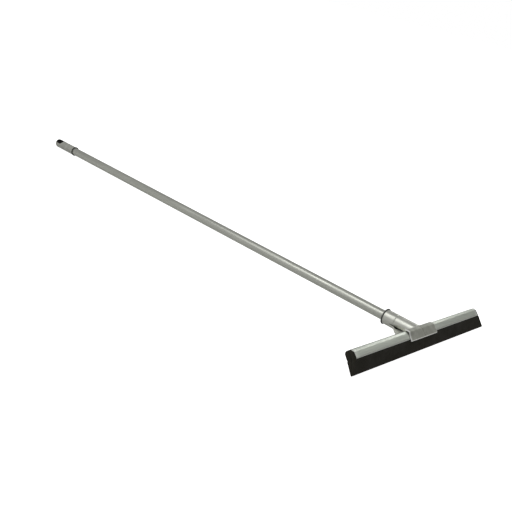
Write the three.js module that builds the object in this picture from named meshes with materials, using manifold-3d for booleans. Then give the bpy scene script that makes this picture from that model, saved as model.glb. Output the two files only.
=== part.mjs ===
// Floor squeegee: a steel channel with two foam rubber lips, carried by a pressed socket on a long
// tube handle with a hanging cap.
//
// Two frames are used, in millimetres. The head frame is the working position: X runs along the
// channel, +Y to the rear, +Z up, and the lips stand on Z = 0. In the stem frame +Y runs along the
// handle, away from the head, and +Z is the side of the handle that faces up. At the end the whole
// tool is laid down, so that it rests on the lips and on the cap.

import * as THREE from "three";
import { mergeVertices } from "three/addons/utils/BufferGeometryUtils.js";
import Module from "manifold-3d";

const wasm = await Module();
wasm.setup();

// Channel
const railLength = 541;
const railHeight = 20.6;
const railMouthWidth = 23.6;
const railShoulderReach = 10.4;
const railCrownReach = 4.6;
const railShoulderDrop = 5.9;
const railWall = 0.9;
const railShoulderBend = 1.8;
const railCrownBend = 3;
const railRearBend = 8.2;
const railCrimpHeight = 2.2;
const railCrimpDepth = 0.8;
const railCrimpBend = 2;

// Foam rubber lips
const lipReach = 30.2;
const lipThickness = 2.4;
const lipGap = 0.5;
const lipChamfer = 0.6;
const foamBulgeDrop = 3;
const foamBulgeBend = 4;
const foamRailOverhang = 2.5;
const foamLipOverhang = 18.4;

// Handle and cap
const handleSlope = 40;
const axisHeight = 33.4;
const handleDiameter = 24;
const handleWall = 1;
const handleEndChamfer = 0.4;
const socketReach = 92.4;
const handleDepthInSocket = 30;
const capRimReach = 1346;
const capDiameter = 26.6;
const capRimDiameter = 29.2;
const capRimLength = 3.2;
const capMouthFlare = 1.6;
const capMouthFlareLength = 4;
const handleDepthInCap = 56;
const capWeb = 13.9;
const capEndRound = 8;
const slotLength = 26.5;
const slotWidth = 16.5;
const slotEndWall = 4.6;
const slotEdgeRound = 1.2;
const slotTurn = 25;

// Socket
const socketDiameter = 35.4;
const sheetWall = 1.5;
const grooveReach = 62.5;
const grooveWidth = 2.4;
const grooveDepth = 0.7;
const ringLength = 20.6;
const slitDrop = 4.2;
const bushCollarDiameter = 39.4;
const bushCollarLength = 2.6;
const bushFloor = 3;
const screwDiameter = 4;
const screwLength = 9;
const screwHeadDiameter = 8.4;
const screwHeadHeight = 2.8;
const screwRecessWidth = 4.6;
const screwRecessSlot = 1.1;
const screwRecessDepth = 1.3;
const screwPointLength = 2.5;
const screwTurn = -75;

// Front plate
const flangeDepth = 10.2;
const plateWidth = 115;
const plateShift = 3;
const plateDrop = 5.6;
const plateBend = 3.5;
const plateLipHeight = 1.8;
const plateLipTurn = 1.1;
const plateLipBend = 1;
const plateLeftRound = 1.5;
const plateRightRound = 5.5;
const ribWidth = 5;
const ribHeight = 1.1;
const ribEndClearance = 4;
const dartLength = 7;
const dartWidth = 4.4;

// Rear brace
const braceWidth = 114;
const braceStartAngle = 22;
const braceCentreHeight = 30.5;
const braceSideHeight = 42;
const braceDrop = 4;
const braceCornerRise = 5;

// Clearance between pieces that touch, and the overrun of every cutter
const seat = 0.3;
const screwPlay = 0.15;
const overrun = 4;

// Shares that set how the rear brace flares, and the roundness of curves
const braceFlareStartShare = 0.1;
const braceFlareEndShare = 0.88;
const braceRiseStartShare = 0.2;
const braceRiseEndShare = 0.5;
const bendStepAngle = 15;
const roundSegments = 64;
const smallSegments = 24;
const braceColumns = 28;
const braceRows = 14;

// Heights and radii that follow from the sizes above
const mouthHeight = lipReach;
const crownHeight = mouthHeight + railHeight;
const shoulderHeight = crownHeight - railShoulderDrop;
const handleRadius = handleDiameter / 2;
const socketRadius = socketDiameter / 2;
const socketBoreRadius = socketRadius - sheetWall;
const slope = THREE.MathUtils.degToRad(handleSlope);
const ringStart = socketReach - ringLength;
const handleStart = socketReach - handleDepthInSocket;
const capTip = capRimReach + handleDepthInCap + capWeb + slotLength + slotEndWall;
const braceFaceY = railMouthWidth / 2 + seat + sheetWall;

const headToStem = new THREE.Matrix4()
  .makeRotationX(-slope)
  .multiply(new THREE.Matrix4().makeTranslation(0, 0, -axisHeight));
const stemToHead = headToStem.clone().invert();

// Materials

function surface(color, roughness, metalness) {
  return new THREE.MeshStandardMaterial({ color, roughness, metalness });
}

const handleMetal = surface(0x8f908a, 0.38, 0.85);
const capPlastic = surface(0x8a8c86, 0.5, 0);
const bushPlastic = surface(0x33342f, 0.45, 0);
const screwSteel = surface(0xa9aba8, 0.3, 1);
const socketSteel = surface(0xa9aaa3, 0.32, 0.9);
const plateSteel = surface(0x84867d, 0.5, 0.8);
const railSteel = surface(0xb5b7ae, 0.42, 0.85);
const foamRubber = surface(0x1d1d1b, 0.85, 0);

// Solids

function toSolid(geometry) {
  const bare = geometry.clone();
  bare.deleteAttribute("normal");
  bare.deleteAttribute("uv");
  const merged = mergeVertices(bare);
  const vertProperties = new Float32Array(merged.attributes.position.array);
  const triVerts = new Uint32Array(merged.index.array);
  return new wasm.Manifold(new wasm.Mesh({ numProp: 3, vertProperties, triVerts }));
}

function toGeometry(solid) {
  const mesh = solid.getMesh();
  const geometry = new THREE.BufferGeometry();
  geometry.setAttribute("position", new THREE.BufferAttribute(mesh.vertProperties, 3));
  geometry.setIndex(new THREE.BufferAttribute(mesh.triVerts, 1));
  geometry.computeVertexNormals();
  return geometry;
}

function cutBy(geometry, ...cutters) {
  return toGeometry(cutters.reduce((solid, cutter) => solid.subtract(toSolid(cutter)), toSolid(geometry)));
}

function keptInside(geometry, keeper) {
  return toGeometry(toSolid(geometry).intersect(toSolid(keeper)));
}

function joined(geometry, ...others) {
  return toGeometry(others.reduce((solid, other) => solid.add(toSolid(other)), toSolid(geometry)));
}

function block(low, high) {
  const size = new THREE.Vector3().subVectors(high, low);
  const centre = new THREE.Vector3().addVectors(low, high).multiplyScalar(0.5);
  return new THREE.BoxGeometry(size.x, size.y, size.z).translate(centre.x, centre.y, centre.z);
}

// A profile drawn in Y and Z, carried along X by the given length about X = 0
function alongX(points, length) {
  const geometry = new THREE.ExtrudeGeometry(new THREE.Shape(points), {
    depth: length,
    bevelEnabled: false,
  });
  geometry.translate(0, 0, -length / 2);
  const turn = new THREE.Matrix4().makeBasis(
    new THREE.Vector3(0, 1, 0),
    new THREE.Vector3(0, 0, 1),
    new THREE.Vector3(1, 0, 0),
  );
  return geometry.applyMatrix4(turn);
}

// A profile of [radius, distance along the axis], turned about Y
function turned(profile, segments = roundSegments) {
  return new THREE.LatheGeometry(profile.map(([r, y]) => new THREE.Vector2(r, y)), segments);
}

// A line through corners with round bends, moved to its left by the offset. A bend keeps its
// centre, so two such lines are the two faces of one folded sheet.
function bentLine(corners, offset) {
  const points = [];
  const leftOf = (v) => new THREE.Vector2(-v.y, v.x);
  const legs = corners.slice(1).map((corner, i) =>
    new THREE.Vector2(corner.y - corners[i].y, corner.z - corners[i].z).normalize());
  const at = (corner) => new THREE.Vector2(corner.y, corner.z);
  points.push(at(corners[0]).addScaledVector(leftOf(legs[0]), offset));
  for (let i = 1; i < corners.length - 1; i += 1) {
    const into = legs[i - 1];
    const out = legs[i];
    const angle = Math.atan2(into.cross(out), into.dot(out));
    const side = Math.sign(angle);
    const radius = corners[i].bend;
    const back = radius * Math.tan(Math.abs(angle) / 2);
    const start = at(corners[i]).addScaledVector(into, -back);
    const centre = start.clone().addScaledVector(leftOf(into), side * radius);
    const steps = Math.ceil(Math.abs(angle) / THREE.MathUtils.degToRad(bendStepAngle));
    for (let k = 0; k <= steps; k += 1) {
      const arm = leftOf(into).multiplyScalar(-side).rotateAround(new THREE.Vector2(), (angle * k) / steps);
      points.push(centre.clone().addScaledVector(arm, radius - side * offset));
    }
  }
  points.push(at(corners.at(-1)).addScaledVector(leftOf(legs.at(-1)), offset));
  return points;
}

function foldedSheet(corners, wall, length) {
  return alongX([...bentLine(corners, 0), ...bentLine(corners, wall).reverse()], length);
}

// The channel's outer face, from the rear mouth over the crown to the front mouth
function railCorners() {
  const mouth = railMouthWidth / 2;
  const crimpTop = mouthHeight + railCrimpHeight;
  return [
    { y: mouth - railCrimpDepth, z: mouthHeight },
    { y: mouth, z: crimpTop, bend: railCrimpBend },
    { y: mouth, z: crownHeight, bend: railRearBend },
    { y: -railCrownReach, z: crownHeight, bend: railCrownBend },
    { y: -railShoulderReach, z: shoulderHeight, bend: railShoulderBend },
    { y: -mouth, z: crimpTop, bend: railCrimpBend },
    { y: -mouth + railCrimpDepth, z: mouthHeight },
  ];
}

function rail() {
  return foldedSheet(railCorners(), railWall, railLength);
}

// The space that the channel fills, with the seat clearance around it
function railCutter() {
  return alongX(bentLine(railCorners(), -seat), railLength);
}

// Foam: the pair fills the channel, swells below its mouth and tapers to the lips. Below the mouth
// its ends slant outward, so that the lips reach past the channel.
function foamPair() {
  const inside = bentLine(railCorners(), railWall + seat);
  const bulgeHeight = mouthHeight - foamBulgeDrop;
  const lipHalf = lipThickness + lipGap / 2;
  const side = (rear) => bentLine([
    { y: rear * (lipHalf - lipChamfer), z: 0 },
    { y: rear * lipHalf, z: lipChamfer, bend: lipChamfer },
    { y: rear * (railMouthWidth / 2 - railWall), z: bulgeHeight, bend: foamBulgeBend },
    { y: rear * (railMouthWidth / 2 - railWall - railCrimpDepth), z: mouthHeight },
  ], 0);
  const outline = [...side(1), ...inside, ...side(-1).reverse()];
  const pair = alongX(outline, railLength);
  const place = pair.attributes.position;
  for (let i = 0; i < place.count; i += 1) {
    const below = Math.max(1 - place.getZ(i) / mouthHeight, 0);
    const reach = THREE.MathUtils.lerp(foamRailOverhang, foamLipOverhang, below);
    place.setX(i, Math.sign(place.getX(i)) * (railLength / 2 + reach));
  }
  return pair;
}

function foamStrip(side) {
  const near = (side * lipGap) / 2;
  const far = side * (railMouthWidth + overrun);
  const span = railLength / 2 + foamLipOverhang + overrun;
  const half = block(
    new THREE.Vector3(-span, Math.min(near, far), -overrun),
    new THREE.Vector3(span, Math.max(near, far), crownHeight + overrun),
  );
  return keptInside(foamPair(), half);
}

// The front plate's seating face, from the flange's rear edge over the fold to the turned-out lip.
// The flange lies in the plane that touches the socket's crown, and the face lies on the channel.
function plateCorners() {
  const faceTop = new THREE.Vector2(-railShoulderReach - seat, shoulderHeight);
  const faceLow = new THREE.Vector2(-railMouthWidth / 2 - seat, mouthHeight + railCrimpHeight);
  const lean = (faceLow.x - faceTop.x) / (faceLow.y - faceTop.y);
  const faceAt = (z) => faceTop.x + lean * (z - faceTop.y);
  const planeRise = (socketRadius - sheetWall) / Math.cos(slope) + axisHeight;
  const foldHeight = (planeRise + Math.tan(slope) * (faceTop.x - lean * faceTop.y))
    / (1 - Math.tan(slope) * lean);
  const foldY = faceAt(foldHeight);
  const lipTop = mouthHeight - plateDrop + plateLipHeight;
  return [
    { y: foldY + flangeDepth * Math.cos(slope), z: foldHeight + flangeDepth * Math.sin(slope) },
    { y: foldY, z: foldHeight, bend: plateBend },
    { y: faceAt(lipTop), z: lipTop, bend: plateLipBend + sheetWall },
    { y: faceAt(lipTop) - plateLipTurn, z: lipTop - plateLipHeight },
  ];
}

// The plate seen from the front, with rounded corners. It is set a little to the left of the socket.
function plateOutline() {
  const [rear] = plateCorners();
  const half = plateWidth / 2;
  const low = mouthHeight - plateDrop;
  const high = rear.z + sheetWall * Math.cos(slope) + seat;
  const depth = railMouthWidth * 2;
  const shape = new THREE.Shape();
  shape.moveTo(-half + plateLeftRound, low);
  shape.lineTo(half - plateRightRound, low);
  shape.quadraticCurveTo(half, low, half, low + plateRightRound);
  shape.lineTo(half, high - plateRightRound * Math.sin(slope));
  shape.quadraticCurveTo(half, high, half - plateRightRound, high);
  shape.lineTo(-half + plateLeftRound, high);
  shape.quadraticCurveTo(-half, high, -half, high - plateLeftRound);
  shape.lineTo(-half, low + plateLeftRound);
  shape.quadraticCurveTo(-half, low, -half + plateLeftRound, low);
  const geometry = new THREE.ExtrudeGeometry(shape, { depth, bevelEnabled: false, curveSegments: 6 });
  return geometry.translate(-plateShift, 0, -depth / 2).rotateX(Math.PI / 2);
}

// A long rounded swelling between two points, half sunk in the sheet
function swelling(from, to, width, height) {
  const axis = new THREE.Vector3().subVectors(to, from);
  const run = Math.max(axis.length() - width, width / roundSegments);
  const geometry = new THREE.CapsuleGeometry(width / 2, run, 4, 12);
  geometry.scale(1, 1, height / (width / 2));
  const turn = new THREE.Quaternion().setFromUnitVectors(new THREE.Vector3(0, 1, 0), axis.normalize());
  geometry.applyQuaternion(turn);
  const centre = new THREE.Vector3().addVectors(from, to).multiplyScalar(0.5);
  return geometry.translate(centre.x, centre.y, centre.z);
}

function frontPlate() {
  const corners = plateCorners();
  const sheet = foldedSheet(corners, -sheetWall, plateWidth + 2 * plateShift + overrun);
  const trimmed = keptInside(sheet, plateOutline());
  const [, fold, lip] = corners;
  const faceY = (z) => THREE.MathUtils.mapLinear(z, fold.z, lip.z, fold.y, lip.y) - sheetWall;
  const ribTop = fold.z - ribEndClearance / 2;
  const ribLow = lip.z + ribEndClearance;
  const rib = swelling(
    new THREE.Vector3(0, faceY(ribLow), ribLow),
    new THREE.Vector3(0, faceY(ribTop), ribTop),
    ribWidth,
    ribHeight,
  );
  const rear = new THREE.Vector3(0, Math.cos(slope), Math.sin(slope)).multiplyScalar(dartLength);
  const foldFace = new THREE.Vector3(0, fold.y - sheetWall * Math.tan(slope / 2), fold.z + sheetWall);
  const dart = swelling(foldFace, rear.add(foldFace), dartWidth, ribHeight);
  return joined(trimmed, rib, dart);
}

// Pieces on the handle's axis, in the stem frame

function tubeProfile() {
  const inner = socketBoreRadius;
  const outer = socketRadius;
  const half = grooveWidth / 2;
  const start = -socketRadius;
  return [
    [inner, start],
    [outer, start],
    [outer, grooveReach - half],
    [outer - grooveDepth, grooveReach - half / 2],
    [outer - grooveDepth, grooveReach + half / 2],
    [outer, grooveReach + half],
    [outer, socketReach],
    [inner, socketReach],
    [inner, start],
  ];
}

function screwHole(radius, from, to) {
  const hole = new THREE.CylinderGeometry(radius, radius, to - from, smallSegments);
  return placeScrew(hole.translate(0, -(from + to) / 2, 0));
}

// A shape drawn with its axis along Y is set square to the handle in the middle of the ring
function placeScrew(geometry) {
  const turn = THREE.MathUtils.degToRad(screwTurn);
  return geometry.rotateX(Math.PI / 2).rotateY(turn).translate(0, socketReach - ringLength / 2, 0);
}

// The tube ends at the flange's rear edge and fits round the channel. Beyond the ring only its
// upper half is left.
function socketTube() {
  const flangeRear = new THREE.Vector3(0, plateCorners()[0].y, plateCorners()[0].z).applyMatrix4(headToStem);
  const wide = socketDiameter + overrun;
  const beyondFlange = block(
    new THREE.Vector3(-wide, -wide * 2, -wide),
    new THREE.Vector3(wide, flangeRear.y + seat, wide),
  );
  const belowSlit = block(
    new THREE.Vector3(-wide, -wide * 2, -wide),
    new THREE.Vector3(wide, ringStart, -slitDrop),
  );
  const channel = railCutter().applyMatrix4(headToStem);
  const hole = screwHole(screwDiameter / 2 + screwPlay, socketBoreRadius / 2, wide);
  return cutBy(turned(tubeProfile()), beyondFlange, belowSlit, channel, hole);
}

// One point on the brace's outer face: share v runs across it from side to side, and share w runs
// from the ring to the channel
function bracePoint(v, w) {
  const spread = THREE.MathUtils.degToRad(90 - braceStartAngle);
  const angle = -Math.PI / 2 + v * spread;
  const height = THREE.MathUtils.lerp(braceCentreHeight, braceSideHeight, v * v);
  const side = (v * braceWidth) / 2 - plateShift;
  const foot = new THREE.Vector3(side, braceFaceY, height).applyMatrix4(headToStem);
  const flare = THREE.MathUtils.smoothstep(w, braceFlareStartShare, braceFlareEndShare);
  const rise = THREE.MathUtils.smoothstep(w, braceRiseStartShare, braceRiseEndShare);
  return new THREE.Vector3(
    THREE.MathUtils.lerp(socketRadius * Math.cos(angle), foot.x, flare),
    THREE.MathUtils.lerp(ringStart - seat, foot.y, w),
    THREE.MathUtils.lerp(socketRadius * Math.sin(angle), foot.z, rise),
  );
}

// A closed sheet from a grid of points on its outer face and the matching points on its inner face
function gridSheet(outer, inner) {
  const rows = outer.length;
  const columns = outer[0].length;
  const points = [...outer.flat(), ...inner.flat()];
  const layer = rows * columns;
  const index = [];
  const quad = (a, b, c, d) => index.push(a, b, c, a, c, d);
  const id = (r, c) => r * columns + c;
  for (let r = 0; r < rows - 1; r += 1) {
    for (let c = 0; c < columns - 1; c += 1) {
      quad(id(r, c), id(r, c + 1), id(r + 1, c + 1), id(r + 1, c));
      quad(layer + id(r, c), layer + id(r + 1, c), layer + id(r + 1, c + 1), layer + id(r, c + 1));
    }
  }
  for (let c = 0; c < columns - 1; c += 1) {
    const last = rows - 1;
    quad(id(0, c + 1), id(0, c), layer + id(0, c), layer + id(0, c + 1));
    quad(id(last, c), id(last, c + 1), layer + id(last, c + 1), layer + id(last, c));
  }
  for (let r = 0; r < rows - 1; r += 1) {
    const last = columns - 1;
    quad(id(r, 0), id(r + 1, 0), layer + id(r + 1, 0), layer + id(r, 0));
    quad(id(r + 1, last), id(r, last), layer + id(r, last), layer + id(r + 1, last));
  }
  const geometry = new THREE.BufferGeometry().setFromPoints(points);
  geometry.setIndex(index);
  geometry.computeVertexNormals();
  return geometry;
}

// The lower half of the socket: an arc at the ring that flares and rises to the channel's rear, then
// runs down it as a flat foot
function rearBrace() {
  const outer = [];
  const inner = [];
  const stepBack = 1 / (braceRows * braceColumns);
  for (let r = 0; r <= braceRows; r += 1) {
    const w = r / braceRows;
    const faceRow = [];
    const backRow = [];
    for (let c = 0; c <= braceColumns; c += 1) {
      const v = -1 + (2 * c) / braceColumns;
      const point = bracePoint(v, w);
      const across = bracePoint(Math.min(v + stepBack, 1), w).sub(bracePoint(Math.max(v - stepBack, -1), w));
      const down = bracePoint(v, Math.min(w + stepBack, 1)).sub(bracePoint(v, Math.max(w - stepBack, 0)));
      const normal = down.cross(across).normalize();
      faceRow.push(point);
      backRow.push(point.clone().addScaledVector(normal, sheetWall));
    }
    outer.push(faceRow);
    inner.push(backRow);
  }
  const footLow = mouthHeight - braceDrop;
  const footRow = (shift) => outer[braceRows].map((top) => {
    const head = top.clone().applyMatrix4(stemToHead);
    const low = footLow + braceCornerRise * ((head.x + plateShift) / (braceWidth / 2)) ** 8;
    return new THREE.Vector3(head.x, braceFaceY - shift, low).applyMatrix4(headToStem);
  });
  inner[braceRows] = outer[braceRows].map((top) => {
    const head = top.clone().applyMatrix4(stemToHead);
    return new THREE.Vector3(head.x, head.y - sheetWall, head.z).applyMatrix4(headToStem);
  });
  outer.push(footRow(0));
  inner.push(footRow(sheetWall));
  return gridSheet(outer, inner);
}

function socketBush() {
  const bore = handleRadius + seat;
  const outer = socketBoreRadius - seat;
  const bottom = handleStart - seat - bushFloor;
  const collarStart = socketReach + seat;
  const collarEnd = collarStart + bushCollarLength;
  const collar = bushCollarDiameter / 2;
  const round = bushCollarLength / 4;
  const profile = [
    [0, bottom],
    [outer - round, bottom],
    [outer, bottom + round],
    [outer, collarStart],
    [collar - round, collarStart],
    [collar, collarStart + round],
    [collar, collarEnd - round],
    [collar - round, collarEnd],
    [bore + round, collarEnd],
    [bore, collarEnd - round],
    [bore, bottom + bushFloor],
    [0, bottom + bushFloor],
  ];
  return cutBy(turned(profile), screwHole(screwDiameter / 2 + screwPlay, handleRadius, socketDiameter));
}

function handleTube() {
  const outer = handleRadius;
  const inner = handleRadius - handleWall;
  const end = capRimReach + handleDepthInCap;
  const profile = [
    [inner, handleStart],
    [outer - handleEndChamfer, handleStart],
    [outer, handleStart + handleEndChamfer],
    [outer, end - handleEndChamfer],
    [outer - handleEndChamfer, end],
    [inner, end],
    [inner, handleStart],
  ];
  return cutBy(turned(profile), screwHole(screwDiameter / 2 + screwPlay, handleRadius / 2, socketDiameter));
}

// The cap is bored for the tube, its mouth is flared, and a slot with round ends runs through its tip
function hangingCap() {
  const outer = capDiameter / 2;
  const rim = capRimDiameter / 2;
  const bore = handleRadius + seat;
  const floor = capRimReach + handleDepthInCap + seat;
  const edge = capRimLength / 4;
  const profile = [
    [0, floor],
    [bore, floor],
    [bore, capRimReach + capMouthFlareLength],
    [bore + capMouthFlare, capRimReach],
    [rim - edge, capRimReach],
    [rim, capRimReach + edge],
    [rim, capRimReach + capRimLength - edge],
    [outer, capRimReach + capRimLength + edge],
  ];
  const steps = 6;
  for (let k = 0; k <= steps; k += 1) {
    const angle = (Math.PI / 2) * (k / steps);
    profile.push([
      outer - capEndRound + capEndRound * Math.cos(angle),
      capTip - capEndRound + capEndRound * Math.sin(angle),
    ]);
  }
  profile.push([0, capTip]);
  return cutBy(turned(profile), hangingSlot());
}

// The slot's cutter widens at both faces, so the slot's edges are eased
function hangingSlot() {
  const half = slotWidth / 2;
  const far = capTip - slotEndWall - half;
  const near = capTip - slotEndWall - slotLength + half;
  const outline = (grow) => {
    const shape = new THREE.Shape();
    shape.absarc(0, far, half + grow, 0, Math.PI, false);
    shape.absarc(0, near, half + grow, Math.PI, 2 * Math.PI, false);
    return shape;
  };
  const depth = capDiameter + overrun;
  const through = new THREE.ExtrudeGeometry(outline(0), { depth, bevelEnabled: false, curveSegments: 10 });
  through.translate(0, 0, -depth / 2);
  const turnedBy = THREE.MathUtils.degToRad(slotTurn);
  const face = capDiameter / 2;
  const eased = [-1, 1].map((side) => {
    const ease = new THREE.ExtrudeGeometry(outline(slotEdgeRound / 2), {
      depth: face,
      bevelEnabled: false,
      curveSegments: 10,
    });
    const start = face - slotEdgeRound;
    return ease.translate(0, 0, side > 0 ? start : -start - face);
  });
  return joined(through, ...eased).rotateY(-turnedBy);
}

// A pan head with a cross recess, a shank and a blunt point, pointing up into the ring
function handleScrew() {
  const shank = screwDiameter / 2 - screwPlay;
  const head = screwHeadDiameter / 2;
  const under = -(socketRadius + seat);
  const round = screwHeadHeight / 3;
  const profile = [
    [0, under - screwHeadHeight],
    [head - round, under - screwHeadHeight],
    [head - round / 3, under - screwHeadHeight + round],
    [head, under - round],
    [head, under],
    [shank, under],
    [shank, under + screwLength - screwPointLength],
    [0, under + screwLength],
  ];
  const deep = under - screwHeadHeight + screwRecessDepth;
  const arm = screwRecessWidth / 2;
  const slotHalf = screwRecessSlot / 2;
  const recess = [[arm, slotHalf], [slotHalf, arm]].map(([x, z]) => block(
    new THREE.Vector3(-x, deep - overrun, -z),
    new THREE.Vector3(x, deep, z),
  ));
  return placeScrew(cutBy(turned(profile, smallSegments), ...recess));
}

// The tool, put together in the working position and laid down

function piece(name, geometry, material) {
  const mesh = new THREE.Mesh(geometry, material);
  mesh.name = name;
  return mesh;
}

const stem = new THREE.Group();
stem.position.z = axisHeight;
stem.rotation.x = slope;
stem.add(
  piece("handle_tube", handleTube(), handleMetal),
  piece("hanging_cap", hangingCap(), capPlastic),
  piece("socket_bush", socketBush(), bushPlastic),
  piece("handle_screw", handleScrew(), screwSteel),
  piece("socket_tube", socketTube(), socketSteel),
  piece("rear_brace", rearBrace(), socketSteel),
);

const tool = new THREE.Group();
tool.add(
  piece("front_plate", frontPlate(), plateSteel),
  piece("rail", rail(), railSteel),
  piece("front_strip", foamStrip(-1), foamRubber),
  piece("rear_strip", foamStrip(1), foamRubber),
  stem,
);

// The lay-down turn puts the rear lip's edge and the lowest point of the cap on the floor
function layDownAngle() {
  const lip = new THREE.Vector3(0, lipThickness + lipGap / 2 - lipChamfer, 0).applyMatrix4(headToStem);
  const contacts = [
    [capRimReach + capRimLength / 4, capRimDiameter / 2],
    [capTip - capEndRound, capDiameter / 2],
  ];
  const drops = contacts.map(([reach, radius]) => (-lip.z - radius) / (reach - lip.y));
  return slope + Math.atan(Math.min(...drops));
}

tool.rotation.x = -layDownAngle();
tool.updateMatrixWorld(true);
const bounds = new THREE.Box3().setFromObject(tool, true);
tool.position.set(
  -(bounds.min.x + bounds.max.x) / 2,
  -(bounds.min.y + bounds.max.y) / 2,
  -bounds.min.z,
);

const squeegee = new THREE.Group();
squeegee.add(tool);

export default squeegee;
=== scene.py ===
# %% [markdown]
# A floor squeegee in ten pieces. A long drawn tube is the handle, with a slotted plastic cap at its
# far end. A plastic bush holds the tube in a pressed steel socket, and a folded front plate and a
# flared rear brace join the socket to a galvanised channel. Two foam rubber lips stand out of the
# channel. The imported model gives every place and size. This file gives each piece its finished
# surface and its finish.

# %% Load the frame
import math

import bmesh
import bpy
import numpy as np
from mathutils import Matrix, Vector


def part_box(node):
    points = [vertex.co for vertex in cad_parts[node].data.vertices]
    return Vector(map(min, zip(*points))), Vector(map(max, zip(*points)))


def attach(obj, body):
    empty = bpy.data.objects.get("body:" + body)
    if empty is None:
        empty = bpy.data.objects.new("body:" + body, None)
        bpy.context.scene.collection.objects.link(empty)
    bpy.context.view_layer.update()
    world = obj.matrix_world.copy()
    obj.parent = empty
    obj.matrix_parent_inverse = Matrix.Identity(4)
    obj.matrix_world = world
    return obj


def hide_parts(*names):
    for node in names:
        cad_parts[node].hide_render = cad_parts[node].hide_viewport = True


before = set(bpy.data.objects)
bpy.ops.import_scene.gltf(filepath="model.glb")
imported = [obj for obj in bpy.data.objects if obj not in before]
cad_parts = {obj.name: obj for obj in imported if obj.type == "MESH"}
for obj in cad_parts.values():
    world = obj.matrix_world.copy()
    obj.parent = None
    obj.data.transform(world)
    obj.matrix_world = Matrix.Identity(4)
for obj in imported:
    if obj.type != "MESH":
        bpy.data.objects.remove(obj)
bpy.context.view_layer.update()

# %% [markdown]
# ## Camera
# The place, the direction and the focal length were fitted to the straight edges and round rims
# of the photograph, so that every rim and edge falls on its own pixels. The three directions below
# are the camera's right, up and forward in the frame.

# %% Set up the camera
camera_place = (-1.50623, -1.37283, 0.67111)
camera_right = (0.659581, -0.713593, 0.236087)
camera_up = (0.100083, 0.394683, 0.913350)
camera_forward = (0.744940, 0.578800, -0.331745)

lens = bpy.data.cameras.new("camera")
lens.sensor_width = 36
lens.lens = 53.492
lens.clip_start = 0.02
lens.clip_end = 400
camera = bpy.data.objects.new("camera", lens)
bpy.context.scene.collection.objects.link(camera)
axes = zip(camera_right, camera_up, [-v for v in camera_forward])
camera.matrix_world = Matrix.Translation(camera_place) @ Matrix([*axes]).to_4x4()
bpy.context.scene.camera = camera
print("camera at", camera_place, "lens", lens.lens, "mm")

# %% [markdown]
# ## Two working frames
# The head is easiest to draw in its working position, standing on its lips, and the handle's
# pieces are easiest to draw along the handle. All drawing sizes are millimetres. The tool lies on
# the floor, so the finished points are turned about X and shifted, and become metres.

# %% Turn drawing points into places on the floor
handle_slope = math.radians(40)
lay_down_angle = math.radians(40.5156)
axis_height = 33.4
head_shift = np.array([0, -733.537, 1.346])


def turned_about_x(points, angle):
    """y and z become y cos + z sin and z cos - y sin, so a positive angle tips the top forward."""
    y, z = points[..., 1], points[..., 2]
    return np.stack([
        points[..., 0],
        y * math.cos(angle) + z * math.sin(angle),
        z * math.cos(angle) - y * math.sin(angle),
    ], axis=-1)


def from_head(points):
    """Head frame to floor: lie down, shift, and scale from millimetres to metres."""
    return (turned_about_x(points, lay_down_angle) + head_shift) / 1000


def head_from_stem(points):
    """Stem frame to head frame: tip back by the handle's slope and lift to the axis."""
    return turned_about_x(points, -handle_slope) + np.array([0, 0, axis_height])


def from_stem(points):
    """Stem frame to floor."""
    return from_head(head_from_stem(points))


print("handle's tip", from_stem(np.array([0.0, 1447.0, 0.0])).round(4))

# %% [markdown]
# ## From grids to a piece
# Every surface here is a grid of points, worked out as one array. A piece is several grids that
# meet along their borders. Points that fall together are merged, which also closes the poles, and
# the normals are then turned outward, because the grids run in different directions.

# %% Make a piece from grids


def grid_quads(rows, columns, first):
    """Corner numbers of the quads between neighbours of a grid whose points start at first."""
    corner = first + np.arange(rows * columns).reshape(rows, columns)
    around = (corner[:-1, :-1], corner[:-1, 1:], corner[1:, 1:], corner[1:, :-1])
    return np.stack(around, axis=-1).reshape(-1, 4)


def make_piece(name, grids, place, node):
    """All grids go into one mesh, placed by the given frame, merged and turned outward. A fourth
    number of each point, where the grids have it, marks a cut edge, lightened as worn metal with a
    painted highlight, or a hollow, darkened as painted shade."""
    starts = np.cumsum([0] + [g.shape[0] * g.shape[1] for g in grids[:-1]])
    quads = np.concatenate([grid_quads(*g.shape[:2], n) for g, n in zip(grids, starts)])
    cloud = np.concatenate([g.reshape(-1, g.shape[-1]) for g in grids])
    points = place(cloud[:, :3])
    mesh = bpy.data.meshes.new(name)
    mesh.from_pydata(points.tolist(), [], quads.tolist())
    if cloud.shape[1] == 4:
        mesh.attributes.new("marked", "FLOAT", "POINT").data.foreach_set("value", cloud[:, 3])
    work = bmesh.new()
    work.from_mesh(mesh)
    bmesh.ops.remove_doubles(work, verts=work.verts, dist=2e-6)
    bmesh.ops.dissolve_degenerate(work, edges=work.edges, dist=1e-7)
    bmesh.ops.recalc_face_normals(work, faces=work.faces)
    open_edges = sum(not e.is_manifold for e in work.edges)
    work.to_mesh(mesh)
    work.free()
    mesh.shade_smooth()
    piece = bpy.data.objects.new(name, mesh)
    bpy.context.scene.collection.objects.link(piece)
    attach(piece, "root")
    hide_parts(node)
    low, high = np.array(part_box(node))
    corner = np.empty((len(mesh.vertices), 3), np.float32)
    mesh.vertices.foreach_get("co", corner.ravel())
    off = max(np.abs(corner.min(0) - low).max(), np.abs(corner.max(0) - high).max()) * 1000
    print(f"{name}: {len(mesh.polygons)} faces, {open_edges} open edges, box off by {off:.2f} mm")
    return piece


def eased(distance, radius):
    """How far a face sinks at that distance from its border: a quarter circle of the radius."""
    inside = radius - np.clip(distance, 0, radius)
    return radius - np.sqrt(np.maximum(radius ** 2 - inside ** 2, 0))


# Worn metal and a painted highlight on cut edges: how strongly an edge is lightened.
def edge_wear_and_glint(distance, full=0, reach=1.8):
    """1 near a cut edge, falling to 0 where the reach ends."""
    return np.clip((reach - distance) / (reach - full), 0, 1)


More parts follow.
